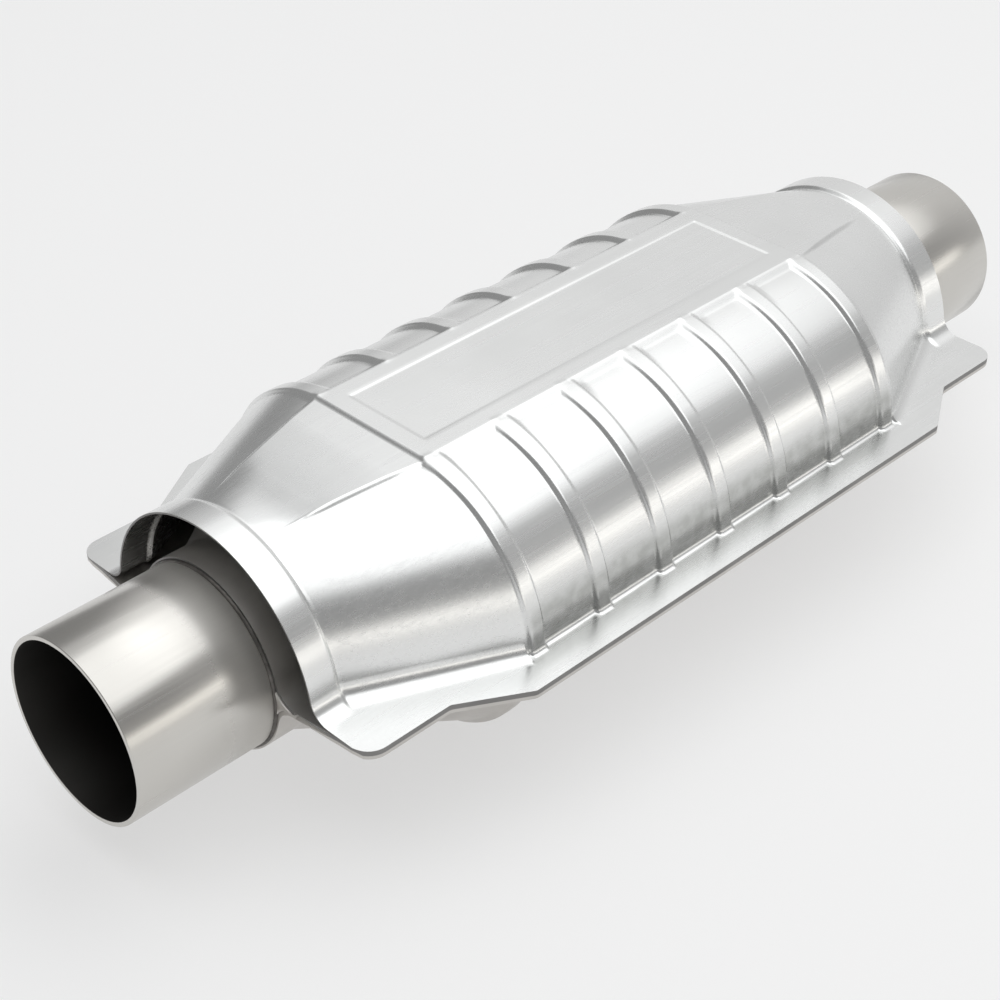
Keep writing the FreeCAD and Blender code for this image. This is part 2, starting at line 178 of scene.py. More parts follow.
def honeycomb_tree():
    """Square cells sunk into one end of a brick, as a geometry node tree."""
    group = bpy.data.node_groups.new("honeycomb_end", "GeometryNodeTree")
    sockets = [
        ("Radius", "NodeSocketFloat"),
        ("Arc Centre", "NodeSocketFloat"),
        ("Pitch", "NodeSocketFloat"),
        ("Open Share", "NodeSocketFloat"),
        ("Depth", "NodeSocketFloat"),
        ("Material", "NodeSocketMaterial"),
    ]
    group.interface.new_socket("Geometry", in_out="INPUT", socket_type="NodeSocketGeometry")
    for label, kind in sockets:
        group.interface.new_socket(label, in_out="INPUT", socket_type=kind)
    group.interface.new_socket("Geometry", in_out="OUTPUT", socket_type="NodeSocketGeometry")
    add = group.nodes.new
    link = group.links.new
    given = add("NodeGroupInput")
    result = add("NodeGroupOutput")

    def maths(operation, first, second=0.0):
        """The result of an operation on two sockets or numbers."""
        node = add("ShaderNodeMath")
        node.operation = operation
        for socket, value in zip(node.inputs, (first, second)):
            if isinstance(value, float):
                socket.default_value = value
            else:
                link(value, socket)
        return node.outputs[0]

    half_width = maths("ADD", given.outputs["Radius"], given.outputs["Arc Centre"])
    width = maths("MULTIPLY", half_width, 2.0)
    height = maths("MULTIPLY", given.outputs["Radius"], 2.0)
    columns = maths("ROUND", maths("DIVIDE", width, given.outputs["Pitch"]))
    rows = maths("ROUND", maths("DIVIDE", height, given.outputs["Pitch"]))
    grid = add("GeometryNodeMeshGrid")
    link(width, grid.inputs["Size X"])
    link(height, grid.inputs["Size Y"])
    link(maths("ADD", columns, 1.0), grid.inputs["Vertices X"])
    link(maths("ADD", rows, 1.0), grid.inputs["Vertices Y"])
    place = add("GeometryNodeInputPosition")
    parts = add("ShaderNodeSeparateXYZ")
    link(place.outputs["Position"], parts.inputs["Vector"])
    across = maths("ABSOLUTE", parts.outputs["X"])
    beyond = maths("MAXIMUM", maths("SUBTRACT", across, given.outputs["Arc Centre"]), 0.0)
    square = maths("ADD", maths("POWER", beyond, 2.0), maths("POWER", parts.outputs["Y"], 2.0))
    reach = maths("SQRT", square)
    rim = maths("SUBTRACT", given.outputs["Radius"], given.outputs["Pitch"])
    outside = maths("GREATER_THAN", reach, rim)
    trimmed = add("GeometryNodeDeleteGeometry")
    trimmed.domain = "FACE"
    link(grid.outputs["Mesh"], trimmed.inputs["Geometry"])
    link(outside, trimmed.inputs["Selection"])
    walls = add("GeometryNodeExtrudeMesh")
    walls.mode = "FACES"
    walls.inputs["Individual"].default_value = True
    walls.inputs["Offset Scale"].default_value = 0.0
    link(trimmed.outputs["Geometry"], walls.inputs["Mesh"])
    shrink = add("GeometryNodeScaleElements")
    shrink.domain = "FACE"
    link(walls.outputs["Mesh"], shrink.inputs["Geometry"])
    link(walls.outputs["Top"], shrink.inputs["Selection"])
    link(given.outputs["Open Share"], shrink.inputs["Scale"])
    sink = add("GeometryNodeExtrudeMesh")
    sink.mode = "FACES"
    sink.inputs["Individual"].default_value = True
    link(shrink.outputs["Geometry"], sink.inputs["Mesh"])
    link(walls.outputs["Top"], sink.inputs["Selection"])
    link(maths("MULTIPLY", given.outputs["Depth"], -1.0), sink.inputs["Offset Scale"])
    realized = add("GeometryNodeRealizeInstances")
    link(sink.outputs["Mesh"], realized.inputs["Geometry"])
    finish = add("GeometryNodeSetMaterial")
    link(realized.outputs["Geometry"], finish.inputs["Geometry"])
    link(given.outputs["Material"], finish.inputs["Material"])
    link(finish.outputs["Geometry"], result.inputs["Geometry"])
    return group


def set_input(modifier, label, value):
    """Sets a geometry node modifier's input by its socket's identifier."""
    for item in modifier.node_group.interface.items_tree:
        if item.item_type == "SOCKET" and item.in_out == "INPUT" and item.name == label:
            modifier[item.identifier] = value


def honeycomb_end(name):
    """One end's cells as a plain mesh about the origin, across Z, in metres."""
    inputs = [
        ("Radius", BRICK_RADIUS * MM),
        ("Arc Centre", ARC_CENTRE * MM),
        ("Pitch", CELL_PITCH * MM),
        ("Open Share", CELL_OPEN),
        ("Depth", CELL_DEPTH * MM),
        ("Material", washcoat),
    ]
    carrier = bpy.data.objects.new(name, bpy.data.meshes.new(name))
    bpy.context.collection.objects.link(carrier)
    cells = carrier.modifiers.new("cells", "NODES")
    cells.node_group = honeycomb_tree()
    for label, value in inputs:
        set_input(cells, label, value)
    evaluated = carrier.evaluated_get(bpy.context.evaluated_depsgraph_get())
    mesh = bpy.data.meshes.new_from_object(evaluated)
    bpy.data.objects.remove(carrier)
    return mesh


end_cells = honeycomb_end("honeycomb_end")
end_points = np.array([vertex.co for vertex in end_cells.vertices]) * 1000.0
end_faces = [list(polygon.vertices) for polygon in end_cells.polygons]
for node in BRICK_NODES:
    low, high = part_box(node)
    outward = -1.0 if node == "front_brick" else 1.0
    seen = low[0] * 1000.0 if outward < 0 else high[0] * 1000.0
    back = high[0] * 1000.0 if outward < 0 else low[0] * 1000.0
    # The cells face outwards: their own Z becomes the way out
    points = np.column_stack(
        [seen + outward * end_points[:, 2], outward * end_points[:, 0], end_points[:, 1]]
    )
    # The skin runs from inside the cells' end, round both edges, to the plain end
    rings = [
        (seen - outward * CELL_DEPTH, 0.90),
        (seen, 0.965),
        (seen, 0.996),
        (seen - outward * BRICK_EDGE, 1.0),
        (back + outward * BRICK_EDGE, 1.0),
        (back, 0.996),
    ]
    skin = []
    for x, share in rings:
        inset = BRICK_RADIUS * (1.0 - share)
        for y, z in racetrack(BRICK_RADIUS - inset, ARC_STEPS):
            skin.append((x, y, z))
    ring_size = len(skin) // len(rings)
    faces = end_faces + band_faces(len(rings), ring_size, len(points))
    points = np.vstack([points, skin])
    faces.append(tuple(range(len(points) - ring_size, len(points))))
    brick = new_mesh(node + "_honeycomb", points, faces)
    merge_doubles(brick, 0.002)
    dress(brick, washcoat)
    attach(brick, "root")
    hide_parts(node)

# Support mats
# A vermiculite and ceramic-fibre mat is wrapped round each brick and squeezed as the shells close.
# It swells when it's first heated, and holds the brick off the steel.
mat_fibre, tree, shader = new_material("intumescent_mat")
felt = texture(tree, "ShaderNodeTexNoise", Scale=260.0, Detail=8.0, Distortion=1.2)
flakes = texture(tree, "ShaderNodeTexVoronoi", Scale=420.0)
tint(tree, shader, felt.outputs["Fac"], (0.42, 0.36, 0.26), (0.74, 0.70, 0.60))
roughen(tree, shader, flakes.outputs["Distance"], 0.6, 0.4)
shader.inputs["Roughness"].default_value = 0.95
for node in BRICK_NODES:
    dress(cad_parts[node + "_mat"], mat_fibre)

# Wire seals
# A knitted stainless wire ring closes the gap round each end of a mat and keeps hot gas off the
# fibre. It's laid in before the shells close.
knitted_wire, tree, shader = new_material("knitted_wire")
loops = texture(
    tree, "ShaderNodeTexWave", Scale=320.0, Distortion=6.0, Detail=3.0, Detail_Scale=3.0
)
loops.wave_type = "BANDS"
loops.bands_direction = "X"
tint(tree, shader, loops.outputs["Fac"], (0.10, 0.10, 0.10), (0.55, 0.54, 0.52))
roughen(tree, shader, loops.outputs["Fac"], 0.8, 0.5)
shader.inputs["Metallic"].default_value = 1.0
shader.inputs["Roughness"].default_value = 0.45
for node in BRICK_NODES:
    for end in ("_inlet_seal", "_outlet_seal"):
        dress(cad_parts[node + end], knitted_wire)

# Body shells
# Two like halves are pressed from stainless sheet, with seven ribs and a flat panel between the
# end ribs. Their side flanges are welded face to face.
SHELL_SHEET = 1.2
RIB_PITCH = 28.2
RIB_COUNT = 7
RIB_CREST = 5.6
RIB_WALL = 1.4
LAST_RIB = RIB_PITCH * (RIB_COUNT - 1) / 2
TAPER_START = LAST_RIB + RIB_CREST / 2 + RIB_WALL
COLLAR_START = 140.0
COLLAR_END = 152.5
COLLAR_RADIUS = 31.65
COLLAR_ROOT = 8.0
FLANGE_END = 151.2
TAB_HALF = 67.9
TAB_START = 119.5
WIDE_END = 97.5
FLANGE_HALF = 80.9
TAB_CORNER = 7.0
# Where the facet's raised edge has its full height, begins to fade and ends
RAISED_FULL, RAISED_FADES, RAISED_ENDS = 100.0, 124.0, 136.0
# How long the flank is, on average, from the panel's edge to the bend into the flange
FLANK_LENGTH = 62.0
# A rib's raised corner: its place from the rib's middle and the panel's edge, and its spread
CORNER_X, CORNER_Y = -1.6, 0.6
CORNER_LENGTH, CORNER_WIDTH = 1.5, 1.3
# Steps either way over which the press rounds a turn, in turns, and how much each counts
PRESS_STEPS = ((-1.0, 1.0), (-0.5, 2.0), (0.0, 3.0), (0.5, 2.0), (1.0, 1.0))


def between(start, end, share):
    """The value at a share of the way from start to end."""
    return start + (end - start) * share


def flange_reach(x):
    """Half the flange's width at each place along the axis."""
    away = np.abs(x)
    slope = np.interp(away, [WIDE_END, TAB_START], [FLANGE_HALF, TAB_HALF])
    along = np.clip(away - (FLANGE_END - TAB_CORNER), 0.0, TAB_CORNER)
    return slope - TAB_CORNER + np.sqrt(TAB_CORNER ** 2 - along ** 2)


def nearest_rib(x):
    """The middle of the rib that is nearest to each place along the axis."""
    number = np.clip(np.round((x + LAST_RIB) / RIB_PITCH), 0, RIB_COUNT - 1)
    return number * RIB_PITCH - LAST_RIB


def rib_share(x, wall):
    """How far the sheet stands out at each place along the axis, from 0 to 1."""
    away = np.abs(x)
    return np.clip((RIB_CREST / 2 + wall - np.abs(away - nearest_rib(away))) / wall, 0.0, 1.0)


def skin_point(form, x, v):
    """Y and Z of a sheet's outer skin over a grid.

    v is 0 at the crown, 1 at the panel's edge, 2 at the flank's foot, 3 where the bend meets the
    flange and 4 at the flange's edge.
    """
    away = np.abs(x)
    share = np.clip((away - TAPER_START) / (form.collar_start - TAPER_START), 0.0, 1.0)
    step_length = np.where(x < 0.0, form.inlet_step_length, form.mouth_step_length)
    step = np.clip((away - form.collar_start) / step_length, 0.0, 1.0)
    centre = ARC_CENTRE * (1.0 - share)
    middle = away < TAPER_START
    # The ribs' walls are eased at the top of the flank
    eases = [form.top_ease, (form.top_ease + 1.0) / 2, 1.0]
    wall = form.wall * np.interp(v, [1.0, 1.1, 1.3], eases)
    ribbed = form.valley + (form.crest - form.valley) * rib_share(x, wall)
    end_radius = form.collar_radius + form.mouth_step * step
    radius = np.where(middle, ribbed, between(form.valley, end_radius, share))
    facet = between(form.panel_half, form.facet_half, share)
    root = np.where(middle, form.root, between(form.taper_root, form.collar_root, share))
    # Where the round flank meets the facet, and where it meets the bend into the flange
    edge_lean = np.arccos(np.clip((facet - centre) / radius, -1.0, 1.0))
    edge_z = radius * np.sin(edge_lean)
    bend_height = form.seat + form.sheet + root
    wall_y = centre + np.sqrt((radius + root) ** 2 - bend_height ** 2)
    foot_lean = np.arctan2(bend_height, wall_y - centre)
    # Crown
    crown_share = np.clip(v, 0.0, 1.0)
    crown_y = facet * crown_share
    inner_edge = LAST_RIB + RIB_CREST / 2
    start_edge = np.sqrt(form.valley ** 2 - (form.panel_half - ARC_CENTRE) ** 2) + form.shoulder
    drop = np.clip((away - inner_edge) / form.wall, 0.0, 1.0)
    raised_places = [TAPER_START, RAISED_FULL, RAISED_FADES, RAISED_ENDS]
    heights = [form.shoulder, form.taper_shoulder, form.taper_shoulder, 0.0]
    raised = np.interp(away, raised_places, heights)
    level = np.where(middle, between(form.crest, start_edge, drop), edge_z + raised)
    crown_length = form.collar_start - form.crown_start
    rounded = np.clip((away - form.crown_start) / crown_length, 0.0, 1.0)
    rounded = rounded * rounded * (3.0 - 2.0 * rounded)
    arc_z = np.sqrt(radius ** 2 - np.maximum(crown_y - centre, 0.0) ** 2)
    crown_z = level + rounded * (arc_z - level)
    crown_z = np.where(middle, level, crown_z)
    # Flank
    flank_share = np.clip(v - 1.0, 0.0, 1.0)
    lean = between(edge_lean, foot_lean, flank_share)
    flank_y = centre + radius * np.cos(lean)
    flank_z = radius * np.sin(lean)
    slope = level - (flank_y - facet) * np.where(middle, form.side_slope, form.taper_slope)
    near_top = (away < form.collar_start) & (flank_y < facet + form.side_reach)
    flank_z = np.where(near_top, np.maximum(flank_z, slope), flank_z)
    # Bend into the flange
    bend_share = np.clip(v - 2.0, 0.0, 1.0)
    bend_lean = between(foot_lean, math.pi / 2, bend_share)
    bend_y = wall_y - root * np.cos(bend_lean)
    bend_z = bend_height - root * np.sin(bend_lean)
    # Flange
    flange_share = np.clip(v - 3.0, 0.0, 1.0)
    edge_y = np.where(away > FLANGE_END + 1e-6, wall_y, flange_reach(x))
    flange_y = between(wall_y, edge_y, flange_share)
    flange_z = np.full_like(flange_y, form.seat + form.sheet)
    zones = [v <= 1.0, v <= 2.0, v <= 3.0]
    y = np.select(zones, [crown_y, flank_y, bend_y], flange_y)
    z = np.select(zones, [crown_z, flank_z, bend_z], flange_z)
    # Each rib's corner at the panel stands a little proud
    if form.corner_height > 0:
        along = (x - nearest_rib(x) - CORNER_X) / CORNER_LENGTH
        across = (y - form.panel_half - CORNER_Y) / CORNER_WIDTH
        z = z + form.corner_height * np.exp(-(along ** 2 + across ** 2))
    # The field is sunk into the crown
    if form.field_depth > 0:
        inside_x = np.clip((form.field_half_length - away) / form.field_wall, 0.0, 1.0)
        inside_y = np.clip((form.field_half_width - y) / form.field_wall, 0.0, 1.0)
        z = np.where(v <= 1.0, z - form.field_depth * np.minimum(inside_x, inside_y), z)
    return y, z


def spread(middle, before, after, step):
    """Places that start before the middle, a step apart, and end by so much after it."""
    return list(np.arange(middle - before, middle + after, step))


def stations(form, fine):
    """Places along the axis from the middle to one end, close together where the sheet turns."""
    closest = 0.12
    step = 0.35 if fine else 0.7
    places = spread(0.0, 0.0, form.end, 3.0 if fine else 6.0) + [form.end]
    for number in range(RIB_COUNT):
        middle = number * RIB_PITCH - LAST_RIB
        for side in (-1.0, 1.0):
            places += spread(middle + side * (RIB_CREST + form.wall) / 2, 1.4, 1.45, step)
    mouth = form.collar_start + form.mouth_step_length
    for turn in (WIDE_END, TAB_START, form.collar_start, mouth):
        places += spread(turn, 1.6, 1.65, step * 1.5)
    corner = np.sin(np.linspace(0.0, math.pi / 2, 9))
    places += list(FLANGE_END - TAB_CORNER + TAB_CORNER * corner)
    if form.end > FLANGE_END:
        places.append(FLANGE_END + 0.02)
    if form.field_depth > 0:
        places += spread(form.field_half_length, 1.4, 0.7, step)
    places = sorted(place for place in places if 0.0 <= place <= form.end)
    kept = [places[0]]
    for place in places[1:]:
        if place - kept[-1] > closest:
            kept.append(place)
    kept[-1] = form.end
    return np.array(kept)


def rows(form, fine):
    """Places of v from the crown to the flange's edge, close together where the sheet turns."""
    half = form.panel_half
    crown = [0.0, 5.0, 10.0, 14.0]
    if form.field_depth > 0:
        crown += spread(form.field_half_width, 1.4, 0.6, 0.35)
    crown += list(np.linspace(18.5, half - 2.8, 4)) + spread(half, 2.4, 0.0, 0.35)
    flank = list(np.arange(0.0, 0.045, 0.0055)) + [0.052, 0.062, 0.078]
    flank += list(np.linspace(0.1, 0.985, 34 if fine else 18)) + [0.993]
    bend = list(np.linspace(0.0, 1.0, 7))
    flange = [0.04, 0.1, 0.25, 0.5, 0.75, 0.95, 1.0]
    places = [place / half for place in crown]
    for start, zone in ((1.0, flank), (2.0, bend), (3.0, flange)):
        places += [start + place for place in zone]
    return np.array(sorted(set(round(place, 6) for place in places)))


def pressed_sheet(name, form, fine):
    """A closed mesh of a pressed sheet: both skins in one metal, and its cut edges in another."""
    half_x = stations(form, fine)
    along = np.concatenate([-half_x[:0:-1], half_x])
    side = rows(form, fine)
    grid_x, grid_v = np.meshgrid(along, side, indexing="ij")
    # The press rounds every turn: each point is the mean of the sharp form round it
    total = 0.0
    sum_y = np.zeros_like(grid_x)
    sum_z = np.zeros_like(grid_x)
    reach_v = np.where(grid_v < 1.0, form.turn / form.panel_half, form.turn / FLANK_LENGTH)
    # Along v, the rounding stops just before the flank's foot, which has its own bend
    reach_v = np.where(grid_v > 1.9, 0.0, reach_v)
    for step_x, weight_x in PRESS_STEPS:
        for step_v, weight_v in PRESS_STEPS:
            x = np.clip(grid_x + step_x * form.turn, -form.end, form.end)
            v = np.abs(grid_v + step_v * reach_v)
            # A step past the panel's edge is as long on the other side of it
            over = (grid_v < 1.0) & (v > 1.0)
            v = np.where(over, 1.0 + (v - 1.0) * form.panel_half / FLANK_LENGTH, v)
            under = (grid_v >= 1.0) & (v < 1.0)
            v = np.where(under, 1.0 + (v - 1.0) * FLANK_LENGTH / form.panel_half, v)
            y, z = skin_point(form, x, v)
            sum_y += weight_x * weight_v * y
            sum_z += weight_x * weight_v * z
            total += weight_x * weight_v
    outer_y = sum_y / total
    outer_z = sum_z / total
    outer_y[:, 0] = 0.0
    # The whole width, from one flange's edge to the other
    full_y = np.concatenate([-outer_y[:, :0:-1], outer_y], axis=1)
    full_z = np.concatenate([outer_z[:, :0:-1], outer_z], axis=1)
    full_x = np.repeat(along[:, None], full_y.shape[1], axis=1)
    outer = np.stack([full_x, full_y, full_z], axis=2)
    tangent_x = np.gradient(outer, axis=0)
    tangent_v = np.gradient(outer, axis=1)
    normal = np.cross(tangent_v, tangent_x)
    length = np.linalg.norm(normal, axis=2, keepdims=True)
    normal = normal / np.maximum(length, 1e-9)
    flip = np.where(normal[:, :, 2:3].mean() > 0, 1.0, -1.0)
    normal = normal * flip
    inner = outer - normal * form.sheet
    columns, lines = full_x.shape
    count = columns * lines
    points = np.vstack([outer.reshape(-1, 3), inner.reshape(-1, 3)])
    faces = []
    for i in range(columns - 1):
        for j in range(lines - 1):
            a = i * lines + j
            b = a + lines
            faces.append((a, b, b + 1, a + 1))
            faces.append((a + count, a + 1 + count, b + 1 + count, b + count))
    skin_faces = len(faces)
    for i in range(columns - 1):
        for j in (0, lines - 1):
            a = i * lines + j
            b = a + lines
            faces.append((a, a + count, b + count, b))
    for j in range(lines - 1):
        for i in (0, columns - 1):
            a = i * lines + j
            faces.append((a, a + 1, a + 1 + count, a + count))
    if form.upside_down:
        points = points * np.array([1.0, -1.0, -1.0])
    thing = new_mesh(name, points, faces)
    dress(thing, form.metal, form.edge_metal)
    for polygon in thing.data.polygons:
        polygon.material_index = 0 if polygon.index < skin_faces else 1
    merge_doubles(thing, 0.01)
    return smooth(thing, 35.0)


def rolled_grain():
    """The fine lines that rolls or brushes leave on steel, and its cloudy tone, as a group."""
    group = bpy.data.node_groups.new("rolled_steel_grain", "ShaderNodeTree")
    sockets = [
        ("Colour", "NodeSocketColor"),
        ("Line Scale", "NodeSocketVector"),
        ("Cloud Scale", "NodeSocketFloat"),
        ("Cloud Amount", "NodeSocketFloat"),
        ("Smoothest", "NodeSocketFloat"),
        ("Roughest", "NodeSocketFloat"),
        ("Line Depth", "NodeSocketFloat"),
    ]
    for label, kind in sockets:
        group.interface.new_socket(label, in_out="INPUT", socket_type=kind)
    group.interface.new_socket("Colour", in_out="OUTPUT", socket_type="NodeSocketColor")
    group.interface.new_socket("Roughness", in_out="OUTPUT", socket_type="NodeSocketFloat")
    group.interface.new_socket("Normal", in_out="OUTPUT", socket_type="NodeSocketVector")
    add = group.nodes.new
    link = group.links.new
    given = add("NodeGroupInput")
    result = add("NodeGroupOutput")
    place = add("ShaderNodeTexCoord")
    stretch = add("ShaderNodeVectorMath")
    stretch.operation = "MULTIPLY"
    link(place.outputs["Object"], stretch.inputs[0])
    link(given.outputs["Line Scale"], stretch.inputs[1])
    lines = add("ShaderNodeTexNoise")
    lines.inputs["Scale"].default_value = 1.0
    lines.inputs["Detail"].default_value = 5.0
    link(stretch.outputs["Vector"], lines.inputs["Vector"])
    clouds = add("ShaderNodeTexNoise")
    clouds.inputs["Detail"].default_value = 3.0
    clouds.inputs["Roughness"].default_value = 0.6
    link(place.outputs["Object"], clouds.inputs["Vector"])
    link(given.outputs["Cloud Scale"], clouds.inputs["Scale"])
    shade = add("ShaderNodeMapRange")
    link(lines.outputs["Fac"], shade.inputs["Value"])
    link(given.outputs["Smoothest"], shade.inputs["To Min"])
    link(given.outputs["Roughest"], shade.inputs["To Max"])
    link(shade.outputs["Result"], result.inputs["Roughness"])
    dim = add("ShaderNodeMapRange")
    dim.inputs["From Min"].default_value = 0.3
    dim.inputs["From Max"].default_value = 0.7
    link(clouds.outputs["Fac"], dim.inputs["Value"])
    link(given.outputs["Cloud Amount"], dim.inputs["To Max"])
    darker = add("ShaderNodeMix")
    darker.data_type = "RGBA"
    link(dim.outputs["Result"], darker.inputs["Factor"])
    colour_sockets = [socket for socket in darker.inputs if socket.type == "RGBA"]
    colour_sockets[1].default_value = (0.0, 0.0, 0.0, 1.0)
    link(given.outputs["Colour"], colour_sockets[0])
    mixed = [socket for socket in darker.outputs if socket.type == "RGBA"][0]
    link(mixed, result.inputs["Colour"])
    relief = add("ShaderNodeBump")
    relief.inputs["Distance"].default_value = 0.00005
    link(given.outputs["Line Depth"], relief.inputs["Strength"])
    link(lines.outputs["Fac"], relief.inputs["Height"])
    link(relief.outputs["Normal"], result.inputs["Normal"])
    return group


grain_group = rolled_grain()
# How far a steel's roughness goes below and above its mean along its lines
SMOOTHER, ROUGHER = 0.06, 0.08


def steel(name, colour, roughness, line_scale, line_depth, cloud_scale=18.0, cloud_amount=0.08):
    """Stainless steel with the lines of rolling, drawing or brushing."""
    material, tree, shader = new_material(name)
    grain = tree.nodes.new("ShaderNodeGroup")
    grain.node_tree = grain_group
    grain.inputs["Colour"].default_value = (*colour, 1.0)
    grain.inputs["Line Scale"].default_value = line_scale
    grain.inputs["Cloud Scale"].default_value = cloud_scale
    grain.inputs["Cloud Amount"].default_value = cloud_amount
    grain.inputs["Smoothest"].default_value = roughness - SMOOTHER
    grain.inputs["Roughest"].default_value = roughness + ROUGHER
    grain.inputs["Line Depth"].default_value = line_depth
    tree.links.new(grain.outputs["Colour"], shader.inputs["Base Color"])
    tree.links.new(grain.outputs["Roughness"], shader.inputs["Roughness"])
    tree.links.new(grain.outputs["Normal"], shader.inputs["Normal"])
    shader.inputs["Metallic"].default_value = 1.0
    return material


# The scale of fine lines that run along the part
ALONG = (12.0, 900.0, 900.0)
shell_steel = steel("pressed_shell_steel", (0.64, 0.62, 0.595), 0.46, ALONG, 0.25, 60.0, 0.12)
# Dark steel for cut edges: partly the duller sheared edge, and partly painted shade for the gap
# between the sheets
edge_steel_and_gap_shade = steel(
    "sheared_edge_steel_and_painted_gap_shade", (0.29, 0.285, 0.28), 0.5, (60.0, 60.0, 900.0), 0.3, 60.0, 0.2
)
shell_form = SimpleNamespace(
    sheet=SHELL_SHEET, seat=0.0, valley=45.2, crest=47.3, panel_half=24.0, facet_half=10.0,
    collar_start=COLLAR_START, collar_radius=COLLAR_RADIUS, crown_start=TAPER_START,
    end=COLLAR_END, mouth_step=0.0, mouth_step_length=2.5, inlet_step_length=2.5,
    root=1.5, taper_root=2.8, collar_root=COLLAR_ROOT,
    wall=RIB_WALL, turn=1.0, top_ease=1.0, corner_height=0.0, field_depth=0.0,
    shoulder=0.0, side_slope=1.3, side_reach=5.0, taper_shoulder=0.0, taper_slope=1.3,
    metal=shell_steel,
)
# The upper half's cut edges take the dark edge steel, partly painted shade for the gap between the
# sheets; the lower half keeps its own bright steel at its cut edges, and has the finer mesh,
# because it isn't covered
for node, upside_down in (("upper_shell", False), ("lower_shell", True)):
    shell_form.upside_down = upside_down
    shell_form.edge_metal = shell_steel if upside_down else edge_steel_and_gap_shade
    shell = pressed_sheet(node + "_pressing", shell_form, upside_down)
    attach(shell, "root")
    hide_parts(node)

# Neck tubes
# Two short lengths of welded stainless tube, sized inside for the exhaust pipe and cut square.
# Each is pushed into a collar and welded round.
NECK_BORE = 57.5
NECK_WALL = 1.6
NECK_RADIUS = NECK_BORE / 2 + NECK_WALL
NECK_LENGTH = 62.5
NECK_LIP = 0.3
NECK_SIDES = 192
NECK_MOUTH = 201.0
# A wire brush has dulled each neck beside its weld: where that is whole and where it has faded,
# in metres along the axis, and what it adds to the roughness
DULLED_TO, BRIGHT_FROM = 0.157, 0.170
DULLED_BY = 0.36


def turned(name, profile, sides):
    """A closed profile of (x, radius) points turned round the neck axis."""
    points = []
    for turn in range(sides):
        angle = 2 * math.pi * turn / sides
        for x, radius in profile:
            points.append((x, radius * math.cos(angle), radius * math.sin(angle)))
    thing = new_mesh(name, points, band_faces(sides, len(profile), joined=True))
    merge_doubles(thing, 0.001)
    return thing


def axis_parts(tree):
    """Sockets for the distance from the middle along the neck axis, and for Z, in metres."""
    coordinate = tree.nodes.new("ShaderNodeTexCoord")
    parts = tree.nodes.new("ShaderNodeSeparateXYZ")
    away = tree.nodes.new("ShaderNodeMath")
    away.operation = "ABSOLUTE"
    tree.links.new(coordinate.outputs["Object"], parts.inputs["Vector"])
    tree.links.new(parts.outputs["X"], away.inputs[0])
    return away.outputs["Value"], parts.outputs["Z"]


def ramped(tree, source, start, end, low=0.0, high=1.0):
    """A socket that goes smoothly from low to high while the source goes from start to end."""
    band = tree.nodes.new("ShaderNodeMapRange")
    band.interpolation_type = "SMOOTHSTEP"
    band.inputs["From Min"].default_value = start
    band.inputs["From Max"].default_value = end
    band.inputs["To Min"].default_value = low
    band.inputs["To Max"].default_value = high
    tree.links.new(source, band.inputs["Value"])
    return band.outputs["Result"]


neck_steel = steel("brushed_neck_steel", (0.63, 0.615, 0.585), 0.24, ALONG, 0.10)
tree = neck_steel.node_tree
away = axis_parts(tree)[0]
rougher = tree.nodes.new("ShaderNodeMath")
tree.links.new(ramped(tree, away, BRIGHT_FROM, DULLED_TO, 0.0, DULLED_BY), rougher.inputs[0])
tree.links.new(tree.nodes["Group"].outputs["Roughness"], rougher.inputs[1])
tree.links.new(rougher.outputs["Value"], tree.nodes["Principled BSDF"].inputs["Roughness"])
# Near-black steel for the bore: painted shade inside the tube
painted_shade_bore_steel = steel("bore_steel_painted_shade", (0.055, 0.053, 0.05), 0.55, (40.0, 160.0, 160.0), 0.2)
for node, side in (("inlet_neck", -1.0), ("outlet_neck", 1.0)):
    outer = NECK_RADIUS
    inner = NECK_BORE / 2
    mouth = NECK_MOUTH
    heel = mouth - NECK_LENGTH
    lip = NECK_LIP
    round_off = lip * 0.3
    profile = [(mouth - lip, outer), (mouth - round_off, outer - round_off), (mouth, outer - lip)]
    profile += [(mouth, inner + lip), (mouth - round_off, inner + round_off), (mouth - lip, inner)]
    profile += [(heel + lip, inner), (heel, inner + lip), (heel, outer - lip), (heel + lip, outer)]
    neck = turned(node + "_tube", [(side * x, radius) for x, radius in profile], NECK_SIDES)
    smooth(neck, 50.0)
    dress(neck, neck_steel, painted_shade_bore_steel)
    # The bore is painted near-black up to its lip, as painted shade inside the tube
    for polygon in neck.data.polygons:
        radius = math.hypot(polygon.center.y, polygon.center.z - AXIS_HEIGHT * MM) / MM
        if radius < inner + lip / 5:
            polygon.material_index = 1
    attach(neck, "root")
    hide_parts(node)

# Weld beads
# A round of fillet weld joins each neck to its collar, laid in overlapping puddles and left as it
# cooled. Paler metal fills the two roots where the shells bend into their flanges.
weld_steel = steel(
    "weld_bead_steel", (0.17, 0.16, 0.15), 0.42, (300.0, 300.0, 300.0), 0.5, 200.0, 0.5
)
BEAD_PUDDLES = 74
BEAD_SIDES = 740
BEAD_STEPS = 9
BEAD_LEG = 1.1
# How far the bead is sunk into the collar's mouth and into the neck
BEAD_SINK, BEAD_SEAT = 0.1, 0.05
# The bead's height as a share of its leg, each puddle's swell and how far its edges lag
BEAD_SHARE, PUDDLE_SWELL, PUDDLE_LAG = 0.72, 0.12, 0.55
ROOT_STEPS = 12
# The root fill's sections: their place along the axis and their size
ROOT_RINGS = (
    (148.0, 1.0), (COLLAR_END - 0.2, 1.0), (COLLAR_END + 0.35, 0.86), (COLLAR_END + 0.55, 0.5)
)


